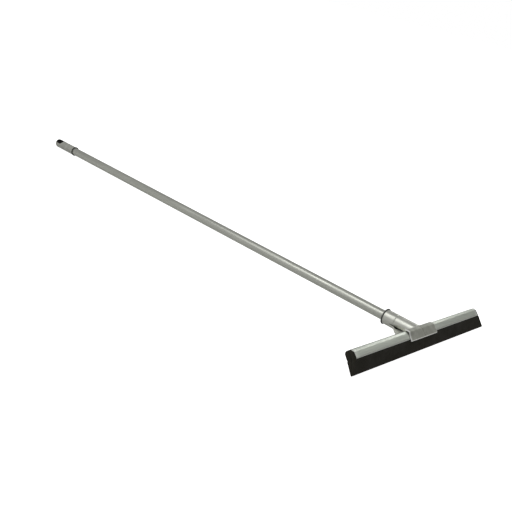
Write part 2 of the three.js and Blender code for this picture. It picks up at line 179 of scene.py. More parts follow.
def closed_shell(face, back, around=False):
    """A face grid, its back grid and a strip along each border. A shell that runs around an axis
    closes on itself and needs no strip along its sides."""
    pairs = [(face[0], back[0]), (face[-1], back[-1])]
    if not around:
        pairs += [(face[:, 0], back[:, 0]), (face[:, -1], back[:, -1])]
    return [face, back] + [np.stack(pair) for pair in pairs]


# %% [markdown]
# ## Bent lines
# Folded sheet, turned rims and moulded edges all start from a line with round corners. Each corner
# becomes an arc that touches both legs. Extra points close to the ends of each leg keep the flat
# parts flat under smooth shading. A Bevel modifier could round the corners too, but it doesn't give
# the length along the sheet, and the plate's rib and round corners need that length.

# %% Bend a line at its corners


def bent_line(corners, bends, steps=8):
    """Arc about a centre that lies one bend radius beside both legs, between the two points where
    it touches them. Returns the points and their left-hand normals."""
    corners = np.array(corners, float)
    legs = np.diff(corners, axis=0)
    legs /= np.linalg.norm(legs, axis=1)[:, None]
    into, out = legs[:-1], legs[1:]
    turn = np.arctan2(into[:, 0] * out[:, 1] - into[:, 1] * out[:, 0], (into * out).sum(1))
    reach = np.sign(turn) * np.array(bends, float)
    left = np.stack([-into[:, 1], into[:, 0]], axis=1)
    touch = corners[1:-1] - into * (np.abs(reach) * np.tan(np.abs(turn) / 2))[:, None]
    centre = touch + left * reach[:, None]
    angle = turn[:, None] * np.linspace(0, 1, steps + 1)
    normal = np.stack([
        left[:, :1] * np.cos(angle) - left[:, 1:] * np.sin(angle),
        left[:, :1] * np.sin(angle) + left[:, 1:] * np.cos(angle),
    ], axis=-1)
    arcs = centre[:, None] - normal * reach[:, None, None]
    ends = np.stack([[-legs[0, 1], legs[0, 0]], [-legs[-1, 1], legs[-1, 0]]])
    points = np.concatenate([corners[:1], arcs.reshape(-1, 2), corners[-1:]])
    normals = np.concatenate([ends[:1], normal.reshape(-1, 2), ends[1:]])
    return points, normals


def smooth_step(value, low, high):
    """3 t^2 - 2 t^3 of the share t between low and high."""
    share = np.clip((value - low) / (high - low), 0, 1)
    return share * share * (3 - 2 * share)


def along(points):
    """Distance along a line up to each of its points."""
    return np.concatenate([[0], np.cumsum(np.linalg.norm(np.diff(points, axis=0), axis=1))])


def resampled(points, normals, hold=0.3, rim=0.0, spacing=None):
    """The same line with points added a little way into each long leg, close to both ends where
    the rim is rounded, and at an even spacing where one is asked for."""
    length = along(points)
    gaps = np.diff(length)
    wide = gaps > 4 * hold
    extra = [length[:-1][wide] + hold, length[1:][wide] - hold]
    if rim:
        near = rim * np.array([0.08, 0.3, 0.6, 1.0])
        extra += [near, length[-1] - near]
    if spacing:
        extra.append(np.arange(spacing, length[-1], spacing))
    at = np.unique(np.round(np.concatenate([length, *extra]), 5))
    at = at[np.concatenate([[True], np.diff(at) > 0.01])]
    line = np.stack([np.interp(at, length, points[:, k]) for k in (0, 1)], axis=1)
    side = np.stack([np.interp(at, length, normals[:, k]) for k in (0, 1)], axis=1)
    side /= np.linalg.norm(side, axis=1)[:, None]
    return line, side, at


def toward_ends(half, rim, middle=2):
    """Places from -half to half with a few close to both ends, where the rim is rounded."""
    near = half - rim * np.array([0, 0.08, 0.3, 0.6, 1.0, 4.0])
    inner = np.linspace(-near[-1], near[-1], middle + 1)[1:-1]
    return np.sort(np.concatenate([-near, inner, near]))


# %% [markdown]
# ## Turned pieces
# The tube, the bush and the cap's mouth are turned: a profile of radius and distance along the
# axis is carried round the axis. The angle starts on the side of the handle that faces up. A Screw
# modifier could do the same, but here the same angles must also serve the cap's patches.

# %% Turn a profile round the handle's axis


def around_axis(radius, reach, angle):
    """x = radius sin(angle), y = reach, z = radius cos(angle)."""
    return np.stack(np.broadcast_arrays(radius * np.sin(angle), reach, radius * np.cos(angle)), axis=-1)


def turned(corners, bends, angle=np.linspace(0, 2 * np.pi, 97), steps=5):
    """A bent profile of (radius, reach) corners at every angle."""
    line, _, _ = resampled(*bent_line(corners, bends, steps))
    return around_axis(line[:, :1], line[:, 1:], angle[None, :])


# %% [markdown]
# The handle is one drawn tube with a 1 mm wall. Its profile closes on itself: outside, far end,
# bore, near end. The ends are slightly rounded, and both sit inside other pieces.

# %% Handle tube
socket_reach = 92.4
handle_radius = 12.0
handle_start = socket_reach - 30
cap_rim_reach = 1346.0
handle_end = cap_rim_reach + 56
bore_radius = handle_radius - 1
middle_reach = (handle_start + handle_end) / 2
tube_profile = [
    (handle_radius, middle_reach), (handle_radius, handle_end), (bore_radius, handle_end),
    (bore_radius, handle_start), (handle_radius, handle_start), (handle_radius, middle_reach),
]
handle = make_piece(
    "handle", [turned(tube_profile, [0.4, 0.4, 0.4, 0.4])], from_stem, "handle_tube")

# %% [markdown]
# The bush is a moulded cup. Only its collar shows, as a dark ring round the socket's mouth. The
# cup fills the gap between the socket's bore and the thinner tube.

# %% Socket bush
socket_radius = 17.7
sheet_wall = 1.5
seat = 0.3
bush_outer = socket_radius - sheet_wall - seat
bush_bore = handle_radius + seat
bush_bottom = handle_start - seat - 3
collar_radius = 19.7
collar_start = socket_reach + seat
collar_end = collar_start + 2.6
bush_profile = [
    (0, bush_bottom), (bush_outer, bush_bottom), (bush_outer, collar_start),
    (collar_radius, collar_start), (collar_radius, collar_end), (bush_bore, collar_end),
    (bush_bore, bush_bottom + 3), (0, bush_bottom + 3),
]
bush = make_piece(
    "bush", [turned(bush_profile, [0.8, 0.2, 1.0, 1.0, 0.6, 0.4])], from_stem,
    "socket_bush")

# %% [markdown]
# ## Hanging cap
# The cap is a long moulded sleeve with a closed, rounded tip and a slot with round ends through
# it. A slot can't be turned, so the tip is made of patches. Each patch runs from the slot's outline
# to the border of one half of the tip, in the two coordinates angle and distance along the skin.

# %% Describe the tip's skin and the slot's outline
cap_radius = 13.3
cap_tip = cap_rim_reach + 101
end_round = 8.0
skin_start = cap_rim_reach + 58
skin_bend = cap_tip - end_round
skin_flat = skin_bend + end_round * math.pi / 2
skin_end = skin_flat + cap_radius - end_round
slot_half = 8.25
slot_edge = 1.2
slot_reach = 14.5
slot_middle = cap_tip - 4.6 - slot_reach
slot_side = slot_reach - slot_half
slot_turn = math.radians(31)


def tip_skin(distance):
    """Radius and reach at a distance along the skin: straight, then a quarter circle, then the
    flat end."""
    bend = np.clip((distance - skin_bend) / end_round, 0, np.pi / 2)
    flat = np.clip(distance - skin_flat, 0, skin_end - skin_flat)
    radius = cap_radius - end_round * (1 - np.cos(bend)) - flat
    return radius, np.minimum(distance, skin_bend) + end_round * np.sin(bend)


def skin_distance(reach):
    """The distance along the skin at which a reach short of the tip is met."""
    past = np.clip(reach - skin_bend, 0, None)
    return np.minimum(reach, skin_bend) + end_round * np.arcsin(past / end_round)


def slot_outline(grow, turn):
    """Two half circles and the straight sides between them, moved outward by grow."""
    across = (slot_half + grow) * np.cos(turn)
    reach = slot_middle + slot_side * np.sign(np.sin(turn).round(9)) + (slot_half + grow) * np.sin(turn)
    return across, reach


# %% [markdown]
# A boolean could cut the slot, but it leaves long thin faces that spoil the shading of a round tip.
# Instead the slot's outline and the border of half a tip get the same number of points, and the skin
# between them is a blend. The other half is its mirror image. Little light reaches into the slot, so
# its wall carries a mark that the finish turns dark.

# %% Patch one half of the tip and its slot
turn = np.linspace(0, 2 * np.pi, 97)
square = np.maximum(np.abs(np.cos(turn)), np.abs(np.sin(turn)))
border_angle = np.cos(turn) / square * np.pi / 2
border_distance = (skin_start + skin_end) / 2 + np.sin(turn) / square * (skin_end - skin_start) / 2


def slot_point(across, reach, depth):
    """On the skin above the slot's middle plane, sunk straight into the slot by depth."""
    radius, _ = tip_skin(skin_distance(reach))
    height = np.sqrt(radius ** 2 - across ** 2) - depth
    return np.stack(np.broadcast_arrays(across, reach, height), axis=-1)


def half_tip():
    """The slot's eased edge, a quarter circle, and the skin from there to the border. The skin is a
    straight blend between outline and border, in angle and distance."""
    ease = np.linspace(0, np.pi / 2, 6)[:, None]
    edge = slot_point(*slot_outline(slot_edge * (1 - np.cos(ease)), turn), slot_edge * (1 - np.sin(ease)))
    across, reach = slot_outline(slot_edge, turn)
    radius, _ = tip_skin(skin_distance(reach))
    share = np.linspace(0, 1, 17)[:, None] ** 1.2
    angle = np.arcsin(across / radius) * (1 - share) + border_angle * share
    distance = skin_distance(reach) * (1 - share) + border_distance * share
    radius, reach = tip_skin(distance)
    return edge, np.stack([radius * np.sin(angle), reach, radius * np.cos(angle)], axis=-1)


def marked(grid, mark):
    """The grid with its mark as a fourth number of each point."""
    return np.concatenate([grid, np.broadcast_to(mark, grid.shape[:2])[..., None]], axis=-1)


edge, skin = half_tip()
flip = np.array([1, 1, -1])
share = np.linspace(0, 1, 5)[:, None, None]
slot_wall = edge[0] * (1 - share) + edge[0] * flip * share
# Painted shade: the slot's eased edge darkens toward the slot, and its wall is dark all over.
slot_edge_shade = np.linspace(1, 0, 6)[:, None]
tip_grids = [marked(edge, slot_edge_shade), marked(skin, 0), marked(edge * flip, slot_edge_shade), marked(skin * flip, 0),
             marked(slot_wall, 1)]
print("slot", round(2 * slot_half, 1), "by", round(2 * (slot_half + slot_side), 1), "mm")

# %% [markdown]
# The rest of the cap is turned. Its angles are those at which the patches end, so that the points
# fall together and merge. The rim at the mouth is a little wider than the sleeve. The rim, its end
# face and the entry of its bore carry painted shade, as dark as the recess round the handle.

# %% Close the cap with its turned sleeve and bore
upper_angles = np.sort(np.unique(border_angle[np.sin(turn) / square < -0.9999].round(9)))
sleeve_angles = np.concatenate([upper_angles, np.pi + upper_angles[1:]])
rim_radius = 14.6
sleeve_profile = [
    (cap_radius, skin_start), (cap_radius, cap_rim_reach + 4), (rim_radius, cap_rim_reach + 2.4),
    (rim_radius, cap_rim_reach), (bush_bore + 1.6, cap_rim_reach), (bush_bore, cap_rim_reach + 4),
    (bush_bore, handle_end + seat), (0, handle_end + seat),
]
sleeve = turned(sleeve_profile, [0.8, 0.8, 0.8, 0.2, 1.0, 0.5], angle=sleeve_angles)


def turned_to_slot(points):
    """About the handle's axis, so that the slot leans to one side."""
    x, y, z = np.moveaxis(points, -1, 0)
    lean = (math.cos(slot_turn), math.sin(slot_turn))
    return from_stem(np.stack([x * lean[0] - z * lean[1], y, x * lean[1] + z * lean[0]], axis=-1))


# Painted shade on the rim, its end face and the entry of the bore, fading out along the sleeve.
mouth_shade_mark = np.clip(cap_rim_reach + 3.2 - sleeve[..., 1], 0, 1)
cap = make_piece(
    "cap", [marked(sleeve, mouth_shade_mark), *tip_grids], turned_to_slot, "hanging_cap")

# %% [markdown]
# ## Channel
# The channel is one strip of galvanised sheet, folded over a crown with a chamfered front shoulder
# and crimped at its mouth. The middle of the sheet is a bent line, carried along X, and both faces
# lie half a wall from it. Near a cut edge both faces sink in a quarter circle, so every edge is
# round and catches the light.

# %% Fold the channel
rail_half = 270.5
rail_wall = 0.9
mouth = 11.8
mouth_height = 30.2
crown_height = 50.8
rail_corners = [
    (mouth - 0.8, mouth_height), (mouth, 32.4), (mouth, crown_height), (-4.6, crown_height),
    (-10.4, 44.9), (-mouth, 32.4), (-mouth + 0.8, mouth_height),
]
rail_bends = [2, 8.2, 3.6, 3.2, 2]


def sheet_along_x(line, side, length, wall, places, half, rim):
    """Middle line plus or minus the half wall along its normal, at every place along X."""
    from_end = np.minimum(length, length[-1] - length)[:, None]
    from_side = half - np.abs(places)[None, :]
    from_edge = np.minimum(from_end, from_side)
    thick = wall / 2 - eased(from_edge, rim)
    faces = []
    for way in (1, -1):
        y = line[:, :1] + way * thick * side[:, :1]
        z = line[:, 1:] + way * thick * side[:, 1:]
        # Nearness to a cut edge goes with each point, and the finish lightens it: worn metal and a painted
        # highlight.
        faces.append(np.stack(np.broadcast_arrays(places[None, :], y, z, edge_wear_and_glint(from_edge)), axis=-1))
    return closed_shell(*faces)


outer_line, outer_side = bent_line(rail_corners, rail_bends)
middle_line = outer_line + outer_side * rail_wall / 2
rail_line, rail_side, rail_length = resampled(middle_line, outer_side, rim=0.3)
places = toward_ends(rail_half, 0.3, 40)
rail_grids = sheet_along_x(rail_line, rail_side, rail_length, rail_wall, places, rail_half, 0.3)
rail = make_piece("channel", rail_grids, from_head, "rail")

# %% [markdown]
# ## Foam rubber lips
# Two thick strips of soft foam lie back to back. They fill the channel, swell a little where they
# leave it, taper to the lips and reach past the channel's ends. Each strip is a shell between the
# flat face at the slit and the outline. Foam is cut, not moulded, so its edges are nearly sharp and
# its faces waver slightly.

# %% Shape the foam strips
slit_half = 0.25
lip_half = 2.65
held_overhang = 3.2
lip_overhang = 18.4
long_cut = 4.5


def foam_outline(front):
    """From the lip over the swelling into the channel and up to the crown. The rear outline is drawn
    as its mirror image, so that both strips are worked out in the same way."""
    line, side = bent_line(rail_corners, rail_bends)
    inner = line + side * (rail_wall + seat)
    held = inner[:, 0] <= -slit_half if front else inner[:, 0] >= slit_half
    inside = inner[held & (inner[:, 1] > mouth_height + 0.5)]
    inside = inside[::-1] if front else inside * [-1, 1]
    below, _ = bent_line(
        [(-slit_half, 0), (-lip_half, 0), (-lip_half - 0.05, 0.9), (-10.9, 27.2), (-10.1, mouth_height),
         inside[0]], [0.5, 0.6, 4, 2], steps=5)
    return np.concatenate([below[:-1], inside, [[-slit_half, inside[-1, 1]]]])


def waver(x, z):
    """A sum of long sine waves: how far a soft face stands off its true plane, in millimetres."""
    return 0.12 * np.sin(x / 37 + 1.3) * np.sin(z / 11 + 0.4) + 0.08 * np.sin(x / 15.7 + z / 9)


def foam_strip(front):
    """Face on the outline and back on the slit's plane, at every place along X. The reach along X
    grows from the channel's mouth to the lip, a little more at the end that is cut long. Past the
    channel's ends the squeezed foam is free, and stands off its middle by a few hundredths more."""
    outline = foam_outline(front)
    way = -1 if front else 1
    line, side, length = resampled(outline, np.ones_like(outline), spacing=1.5)
    top = line[-1, 1]
    share = length / length[-1]
    back_z = top * share
    columns = toward_ends(1.0, 0.004, 160)

    def grid(y, z):
        below = np.clip(1 - z / mouth_height, 0, 1)
        span = rail_half + held_overhang + (lip_overhang - held_overhang) * below
        x = span[:, None] * columns + long_cut * below[:, None] * columns.clip(0)
        soft = np.clip((np.abs(y) - slit_half) / 2, 0, 1)[:, None] * waver(x, z[:, None]) * below[:, None]
        free = smooth_step(np.abs(x), rail_half - 0.5, rail_half + 2.5) * smooth_step(z, 22, 33)[:, None]
        deep = way * (np.abs(y)[:, None] * (1 + 0.09 * free) + soft)
        high = z[:, None] + 0.07 * free * (z[:, None] - 38)
        return np.stack(np.broadcast_arrays(x, deep, high), axis=-1)

    return closed_shell(grid(line[:, 0], line[:, 1]), grid(np.full(len(line), -slit_half), back_z))


front_lip = make_piece("front_lip", foam_strip(True), from_head, "front_strip")

# %% [markdown]
# The rear strip is the same cut of foam, but the channel has no chamfer on its rear, so its outline
# follows the large bend there.

# %% Rear strip
rear_lip = make_piece("rear_lip", foam_strip(False), from_head, "rear_strip")

# %% [markdown]
# ## Front plate
# The plate starts as a flange that lies flush with the socket's crown, folds over in a wide bend
# and runs down the channel's front to a small turned-out lip. Its middle surface has two
# coordinates, the distance along the folded line and X. The corners are rounded by drawing the
# side borders in, and the rib is pressed outward.

# %% Lay out the plate's fold
slope_tan = math.tan(handle_slope)
face_top = (-10.4 - seat, 44.9)
face_low = (-mouth - seat, 32.4)
lean = (face_low[0] - face_top[0]) / (face_low[1] - face_top[1])
plane_rise = (socket_radius - sheet_wall) / math.cos(handle_slope) + axis_height
fold_height = (plane_rise + slope_tan * (face_top[0] - lean * face_top[1])) / (1 - slope_tan * lean)


def on_face(z):
    """Where the plate's seating face stands at a height."""
    return face_top[0] + lean * (z - face_top[1])


plate_low = mouth_height - 5.6
lip_top = plate_low + 1.8
flange = 10.2
plate_corners = [
    (on_face(fold_height) + flange * math.cos(handle_slope), fold_height + flange * math.sin(handle_slope)),
    (on_face(fold_height), fold_height), (on_face(lip_top), lip_top), (on_face(lip_top) - 1.1, plate_low),
]
plate_line, plate_side = bent_line(plate_corners, [3.5, 2.5], steps=12)
plate_line, plate_side, plate_length = resampled(
    plate_line - plate_side * sheet_wall / 2, plate_side, rim=0.45, spacing=0.6)
print("plate's fold at", round(fold_height, 2), "mm, folded length", round(plate_length[-1], 1), "mm")

# %% [markdown]
# A rib and a short dart stiffen the real plate, and both are pressed from behind. Its left corner
# stands off the channel a little, which leaves a dark gap beside an edge lightened by a painted
# highlight. A Displace modifier could raise all this on a finished mesh. Here both faces are lifted
# by the same height before they become a mesh, so the sheet keeps its wall.

# %% Press the plate
plate_half = 57.5
plate_shift = 3.0
rib_width = 5.0
rib_height = 1.1
lift_from, lift_full = 36, 60
corner_lift = 2.0
corner_spread = 3.0


def ridge(length, x, ends, half_width, height):
    """Half a cosine wave of the distance to a middle line that runs between two ends."""
    gap = np.maximum(np.maximum(ends[0] - length, length - ends[1]), 0)
    away = np.clip(np.hypot(x, gap) / half_width, 0, 1)
    return height * 0.5 * (1 + np.cos(np.pi * away))


def pressed(length, x):
    """Height of the rib down the front, of the short dart over the fold and of the left corner,
    which stands off the channel where the plate folds over it."""
    rib = ridge(length, x, (flange + 3.5, plate_length[-1] - 4.5), rib_width / 2 + 0.6, rib_height)
    past_fold = smooth_step(length, flange, flange + 10)
    corner = corner_lift * smooth_step(-x, lift_from, lift_full) * (1 - past_fold)
    return rib + ridge(length, x, (4.5, flange + 1.2), 3.2, 0.9) + corner


def plate_grids():
    """Columns at equal shares between the left and the right border, which draw in toward both
    ends as the corners are rounded. The left border also runs out a little toward the lip, and the
    lightened band beside it is wider than those on the other edges: worn metal with a wide painted
    highlight along that edge."""
    from_end = np.minimum(plate_length, plate_length[-1] - plate_length)[:, None]
    spread = corner_spread * smooth_step(plate_length[:, None], flange + 4, plate_length[-1])
    low = -plate_half - plate_shift + eased(from_end, 1.5) - spread
    high = plate_half - plate_shift - eased(from_end, 5.5)
    near_rib = (np.linspace(-6, 6, 25) + plate_shift) / plate_half
    columns = np.unique(np.concatenate([toward_ends(1, 0.45 / plate_half, 24), near_rib]).round(6))
    share = (columns[None, :] + 1) / 2
    x = low + (high - low) * share
    from_edge = np.minimum(from_end, np.minimum(x - low, high - x))
    thick = sheet_wall / 2 - eased(from_edge, 0.45)
    out = pressed(plate_length[:, None], x)
    wear_and_glint_band = np.maximum(edge_wear_and_glint(from_edge), edge_wear_and_glint(x - low, 0.9, 3))
    faces = []
    for way in (-1, 1):
        y = plate_line[:, :1] + (way * thick - out) * plate_side[:, :1]
        z = plate_line[:, 1:] + (way * thick - out) * plate_side[:, 1:]
        faces.append(np.stack(np.broadcast_arrays(x, y, z, wear_and_glint_band), axis=-1))
    return closed_shell(*faces)


plate = make_piece("plate", plate_grids(), from_head, "front_plate")

# %% [markdown]
# ## Socket
# The socket is pressed from tube. Beyond the ring at its mouth only the upper half goes on, to the
# plate's flange and the channel. Its surface has two coordinates, the angle round the axis and a
# share of the way from the cut end to the mouth. The cut end follows from where a straight line on
# the tube meets the channel, so the tube sits on it like a saddle.

# %% Find where the tube meets the channel
ring_start = socket_reach - 20.6
slit_angle = math.acos(-4.2 / socket_radius)
flange_rear = (plate_corners[0][0], plate_corners[0][1] - axis_height)
flange_reach = flange_rear[0] * math.cos(handle_slope) + flange_rear[1] * math.sin(handle_slope) + seat


def saddle_reach(radius, angle):
    """The largest reach at which the line at that angle crosses a leg of the channel's outline.
    Line and leg are written as point plus share times direction, and the two shares are solved."""
    outline = outer_line - outer_side * seat
    start, leg = outline[:-1], np.diff(outline, axis=0)
    rise = radius * np.cos(angle)[:, None]
    base = np.stack([-math.sin(handle_slope) * rise, math.cos(handle_slope) * rise + axis_height], axis=-1)
    way = np.array([math.cos(handle_slope), math.sin(handle_slope)])
    gap = start[None] - base
    across = way[0] * leg[:, 1] - way[1] * leg[:, 0]
    across = np.where(np.abs(across) < 1e-9, 1e-9, across)
    reach = (gap[..., 0] * leg[:, 1] - gap[..., 1] * leg[:, 0]) / across
    share = (gap[..., 0] * way[1] - gap[..., 1] * way[0]) / across
    return np.where((share >= 0) & (share <= 1), reach, -1e3).max(axis=1)


def tube_start(radius, angle):
    """The flange's rear edge or the saddle, whichever is farther, and the ring below the slits."""
    end = np.maximum(saddle_reach(radius, angle), flange_reach)
    return np.where(np.abs(angle) <= slit_angle + 1e-6, end, ring_start)


# %% [markdown]
# The socket's outer face and its bore share their angles and their rows, so one strip closes each
# end. The groove is a wave in the radius of the outer face. The angles jump at the slits, where the
# tube ends on the ring.

# %% Press the socket
groove_reach = 62.5
slit_step = math.radians(1.2)
below = np.linspace(slit_angle + slit_step, np.pi, 22)
socket_angles = np.concatenate([-below[::-1], np.linspace(-slit_angle, slit_angle, 91), below])


def socket_wall(radius, groove_depth):
    """Rows run from the cut end to the groove, through it and on to the mouth. The radius dips by
    a cosine wave at the groove."""
    start = tube_start(radius, socket_angles)
    groove_from = np.maximum(groove_reach - 1.3, start)
    groove_to = np.maximum(groove_reach + 1.3, start)
    before_groove = np.where(groove_from > start + 0.6, groove_from - start - 0.5, 0)
    rise = np.array([0, 0.08, 0.3, 0.6, 1])[:, None] * 0.5
    parts = [
        start + rise,
        start + 0.5 + before_groove * np.linspace(0, 1, 8)[1:, None],
        groove_from + (groove_to - groove_from) * np.linspace(0, 1, 13)[1:, None],
        groove_to + (socket_reach - 0.5 - groove_to) * np.linspace(0, 1, 7)[1:, None],
        socket_reach - rise[::-1][1:] + 0 * start,
    ]
    reach = np.sort(np.concatenate(parts), axis=0)
    wave = np.clip(np.abs(reach - groove_reach) / 1.3, 0, 1)
    dip = groove_depth * 0.5 * (1 + np.cos(np.pi * wave))
    sink = eased(np.minimum(reach - start, socket_reach - reach), 0.45)
    return reach, radius - dip, sink


def socket_grids():
    """The outer face with the groove and the bore without it, joined along both ends."""
    reach, radius, sink = socket_wall(socket_radius, 0.7)
    face = around_axis(radius - sink, reach, socket_angles[None, :])
    reach, radius, sink = socket_wall(socket_radius - sheet_wall, 0)
    back = around_axis(radius + sink, reach, socket_angles[None, :])
    return closed_shell(face, back, around=True)


socket = make_piece("socket", socket_grids(), from_stem, "socket_tube")

# %% [markdown]
# ## Rear brace
# The brace is the lower half of the socket, pressed outward. It leaves the ring as an arc, flares
# and flattens, and ends as a foot down the channel's rear. One coordinate runs across it and one
# from the ring to the foot. Smooth steps blend the arc into the flat.

# %% Press the brace
brace_half = 57.0
brace_start = math.radians(22)
brace_face = mouth + seat + sheet_wall
brace_foot_low = mouth_height - 4


def brace_surface(v, w):
    """The outer face: an arc of the socket at w = 0, the top of the foot at w = 1."""
    angle = -np.pi / 2 + v * (np.pi / 2 - brace_start)
    height = 30.5 + (42.0 - 30.5) * v * v
    drop = np.array([math.cos(handle_slope), math.sin(handle_slope)])
    foot_y = brace_face * drop[0] + (height - axis_height) * drop[1]
    foot_z = -brace_face * drop[1] + (height - axis_height) * drop[0]
    flare = smooth_step(w, 0, 0.85)
    rise = smooth_step(w, 0.2 - 0.12 * v * v, 0.5 - 0.16 * v * v)
    return np.stack([
        socket_radius * np.cos(angle) * (1 - flare) + (v * brace_half - plate_shift) * flare,
        (ring_start - seat) * (1 - w) + foot_y * w,
        socket_radius * np.sin(angle) * (1 - rise) + foot_z * rise,
    ], axis=-1)


def stem_from_head(points):
    """Head frame to stem frame, the reverse of head_from_stem."""
    return turned_about_x(points - np.array([0, 0, axis_height]), handle_slope)


def brace_grids():
    """The face runs on as the foot. The back stands a wall farther in along the face's normal, the
    cross product of its two slopes, and both sink toward the side borders."""
    v = toward_ends(1, 0.01, 60)[None, :]
    w = np.concatenate([[0, 0.004, 0.012], np.linspace(0.02, 1, 45)])[:, None]
    face = brace_surface(v, w)
    across = brace_surface(v + 1e-4, w) - brace_surface(v - 1e-4, w)
    down = brace_surface(v, w + 1e-4) - brace_surface(v, w - 1e-4)
    normal = np.cross(down, across)
    normal /= np.linalg.norm(normal, axis=-1)[..., None]
    back = face + normal * sheet_wall
    top = head_from_stem(face[-1])
    back[-1] = stem_from_head(top - [0, sheet_wall, 0])
    low = brace_foot_low + 5 * ((top[:, 0] + plate_shift) / brace_half) ** 8
    share = np.linspace(0, 1, 9)[1:, None]
    foot_z = top[:, 2] * (1 - share) + low * share
    foot = np.stack(np.broadcast_arrays(top[:, 0], top[:, 1], foot_z), axis=-1)
    face = np.concatenate([face, stem_from_head(foot)])
    back = np.concatenate([back, stem_from_head(foot - [0, sheet_wall, 0])])
    from_side = (1 - np.abs(v)) * np.linalg.norm(across, axis=-1).mean() / 2e-4
    sink = eased(np.broadcast_to(from_side, face.shape[:2]), 0.45)[..., None]
    way = (back - face) / sheet_wall
    return closed_shell(face + way * sink, back - way * sink)


brace = make_piece("brace", brace_grids(), from_stem, "rear_brace")

# %% [markdown]
# ## Finishes
# Small effects that several finishes share are node groups: drawn lines in metal, soft smudges and
# a fine grain. Each finish places them with its own values. A mapping stretches the pattern along
# the direction in which the sheet was rolled or the tube was drawn.

# %% Build the shared effects


def new_group(name, inputs, outputs):
    """A shader node group with the named sockets."""
    group = bpy.data.node_groups.new(name, "ShaderNodeTree")
    for label, kind, value in inputs:
        socket = group.interface.new_socket(name=label, in_out="INPUT", socket_type=kind)
        if value is not None:
            socket.default_value = value
    for label, kind in outputs:
        group.interface.new_socket(name=label, in_out="OUTPUT", socket_type=kind)
    return group, group.nodes.new("NodeGroupInput"), group.nodes.new("NodeGroupOutput")


def pattern_group(name, texture, detail, low, high):
    """A texture whose value is spread between low and high: out come a mask and a height."""
    group, given, result = new_group(
        name,
        [("Vector", "NodeSocketVector", None), ("Scale", "NodeSocketFloat", 100.0)],
        [("Mask", "NodeSocketFloat"), ("Height", "NodeSocketFloat")],
    )
    pattern = group.nodes.new(texture)
    if texture == "ShaderNodeTexNoise":
        pattern.inputs["Detail"].default_value = detail
        value = pattern.outputs["Fac"]
    else:
        value = pattern.outputs["Distance"]
    spread = group.nodes.new("ShaderNodeMapRange")
    spread.inputs["From Min"].default_value = low
    spread.inputs["From Max"].default_value = high
    links = group.links
    links.new(given.outputs["Vector"], pattern.inputs["Vector"])
    links.new(given.outputs["Scale"], pattern.inputs["Scale"])
    links.new(value, spread.inputs["Value"])
    links.new(spread.outputs["Result"], result.inputs["Mask"])
    links.new(value, result.inputs["Height"])
    return group


drawn_lines = pattern_group("drawn_lines", "ShaderNodeTexNoise", 3, 0.3, 0.7)
smudges = pattern_group("smudges", "ShaderNodeTexNoise", 2, 0.35, 0.65)
fine_grain = pattern_group("fine_grain", "ShaderNodeTexNoise", 6, 0.35, 0.65)
open_pores = pattern_group("open_pores", "ShaderNodeTexVoronoi", 0, 0.0, 0.55)
print("effects:", [g.name for g in bpy.data.node_groups])

# %% [markdown]
# A finish mixes a darker and a lighter tone by one mask, moves the roughness by another, and sends
# a height to a bump. Where a piece has marks, a third tone covers them: worn metal with a painted
# highlight on cut edges, and painted shade in the cap's slot and round its mouth. The other tones,
# the metal share and the strengths are what the real surfaces show, except the brace's zinc, which
# is painted lighter to lift its shade.

# %% Mix a finish from the effects


def finish(name, dark, light, metal, rough, tone, wear, bump, marked_tone=None):
    """dark and light are the two tones and rough the two ends of roughness. tone and wear are
    (group, scale, stretch), and bump has its depth in metres as well."""
    material = bpy.data.materials.new(name)
    material.use_nodes = True
    nodes, links = material.node_tree.nodes, material.node_tree.links
    shader = nodes["Principled BSDF"]
    place = nodes.new("ShaderNodeTexCoord")

    def effect(group, scale, stretch):
        mapping = nodes.new("ShaderNodeMapping")
        mapping.inputs["Scale"].default_value = stretch
        node = nodes.new("ShaderNodeGroup")
        node.node_tree = group
        node.inputs["Scale"].default_value = scale
        links.new(place.outputs["Object"], mapping.inputs["Vector"])
        links.new(mapping.outputs["Vector"], node.inputs["Vector"])
        return node

    mix = nodes.new("ShaderNodeMix")
    mix.data_type = "RGBA"
    mix.inputs["A"].default_value = (*dark, 1)
    mix.inputs["B"].default_value = (*light, 1)
    links.new(effect(*tone).outputs["Mask"], mix.inputs["Factor"])
    links.new(mix.outputs["Result"], shader.inputs["Base Color"])
    # Marked points take the third tone: painted shade on the cap, worn metal with a painted highlight on cut
    # edges.
    if marked_tone:
        mark = nodes.new("ShaderNodeAttribute")
        mark.attribute_name = "marked"
        over = nodes.new("ShaderNodeMix")
        over.data_type = "RGBA"
        over.inputs["B"].default_value = (*marked_tone, 1)
        links.new(mark.outputs["Fac"], over.inputs["Factor"])
        links.new(mix.outputs["Result"], over.inputs["A"])
        links.new(over.outputs["Result"], shader.inputs["Base Color"])
    spread = nodes.new("ShaderNodeMapRange")
    spread.inputs["To Min"].default_value, spread.inputs["To Max"].default_value = rough
    links.new(effect(*wear).outputs["Mask"], spread.inputs["Value"])
    links.new(spread.outputs["Result"], shader.inputs["Roughness"])
    relief = nodes.new("ShaderNodeBump")
    relief.inputs["Strength"].default_value = 1.0
    relief.inputs["Distance"].default_value = bump[3]
    links.new(effect(*bump[:3]).outputs["Height"], relief.inputs["Height"])
    links.new(relief.outputs["Normal"], shader.inputs["Normal"])
    shader.inputs["Metallic"].default_value = metal
    return material


# %% [markdown]
# The handle is drawn aluminium with fine lengthwise lines, and the socket is bright zinc with the
# same lines. The plate is duller than the socket, with soft clouds, and the channel is galvanised
# with streaks along its length. The cap and the bush are moulded, and the foam is cut rubber with
# open pores. Zinc leans slightly toward green, and the foam is a warm black.

